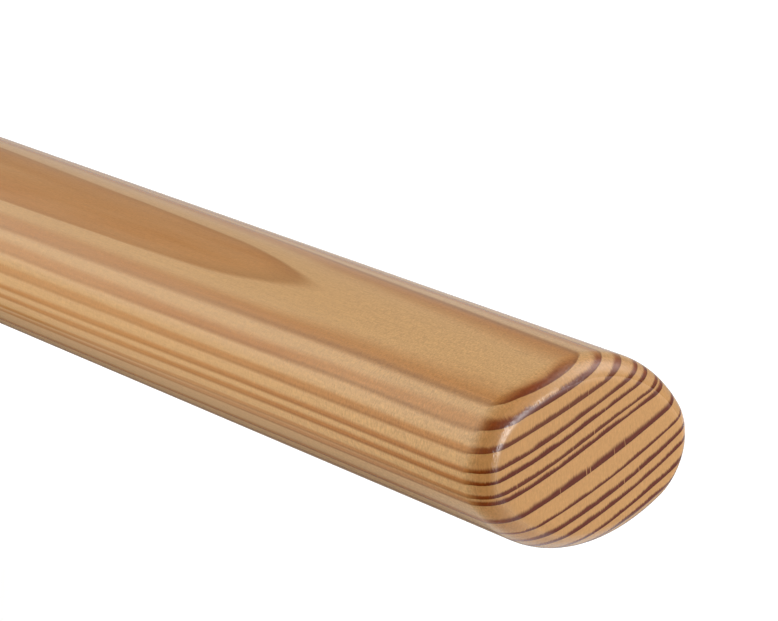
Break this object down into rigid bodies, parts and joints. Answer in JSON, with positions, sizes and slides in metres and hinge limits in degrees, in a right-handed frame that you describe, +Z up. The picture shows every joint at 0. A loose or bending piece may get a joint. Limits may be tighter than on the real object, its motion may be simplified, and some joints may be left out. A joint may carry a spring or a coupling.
{
  "type": "grab rail",
  "caption": "Straight varnished wooden grab rail of oval section with rolled ends, carried on turned stainless standoffs with saddles and round bolt-down bases.",
  "frame": {"origin": "on the mounting surface, under the middle of the rail", "axes": "+X along the rail, +Y across its width, +Z up from the mounting surface to the rail"},
  "size_m": [1, 0.054, 0.0949],
  "materials": {
    "wood": "clear gloss varnish over straight-grained softwood",
    "stainless": "polished stainless steel",
    "screw_steel": "plain stainless steel",
    "gasket": "matt black rubber"
  },
  "bodies": {
    "root": {"rail": "wood", "left_base_gasket": "gasket", "left_base_flange": "stainless", "left_post_screw": "screw_steel", "left_post": "stainless", "left_saddle": "stainless", "left_saddle_screw": "screw_steel", "left_rail_screws": "screw_steel", "middle_base_gasket": "gasket", "middle_base_flange": "stainless", "middle_post_screw": "screw_steel", "middle_post": "stainless", "middle_saddle": "stainless", "middle_saddle_screw": "screw_steel", "middle_rail_screws": "screw_steel", "right_base_gasket": "gasket", "right_base_flange": "stainless", "right_post_screw": "screw_steel", "right_post": "stainless", "right_saddle": "stainless", "right_saddle_screw": "screw_steel", "right_rail_screws": "screw_steel"}
  },
  "joints": []
}
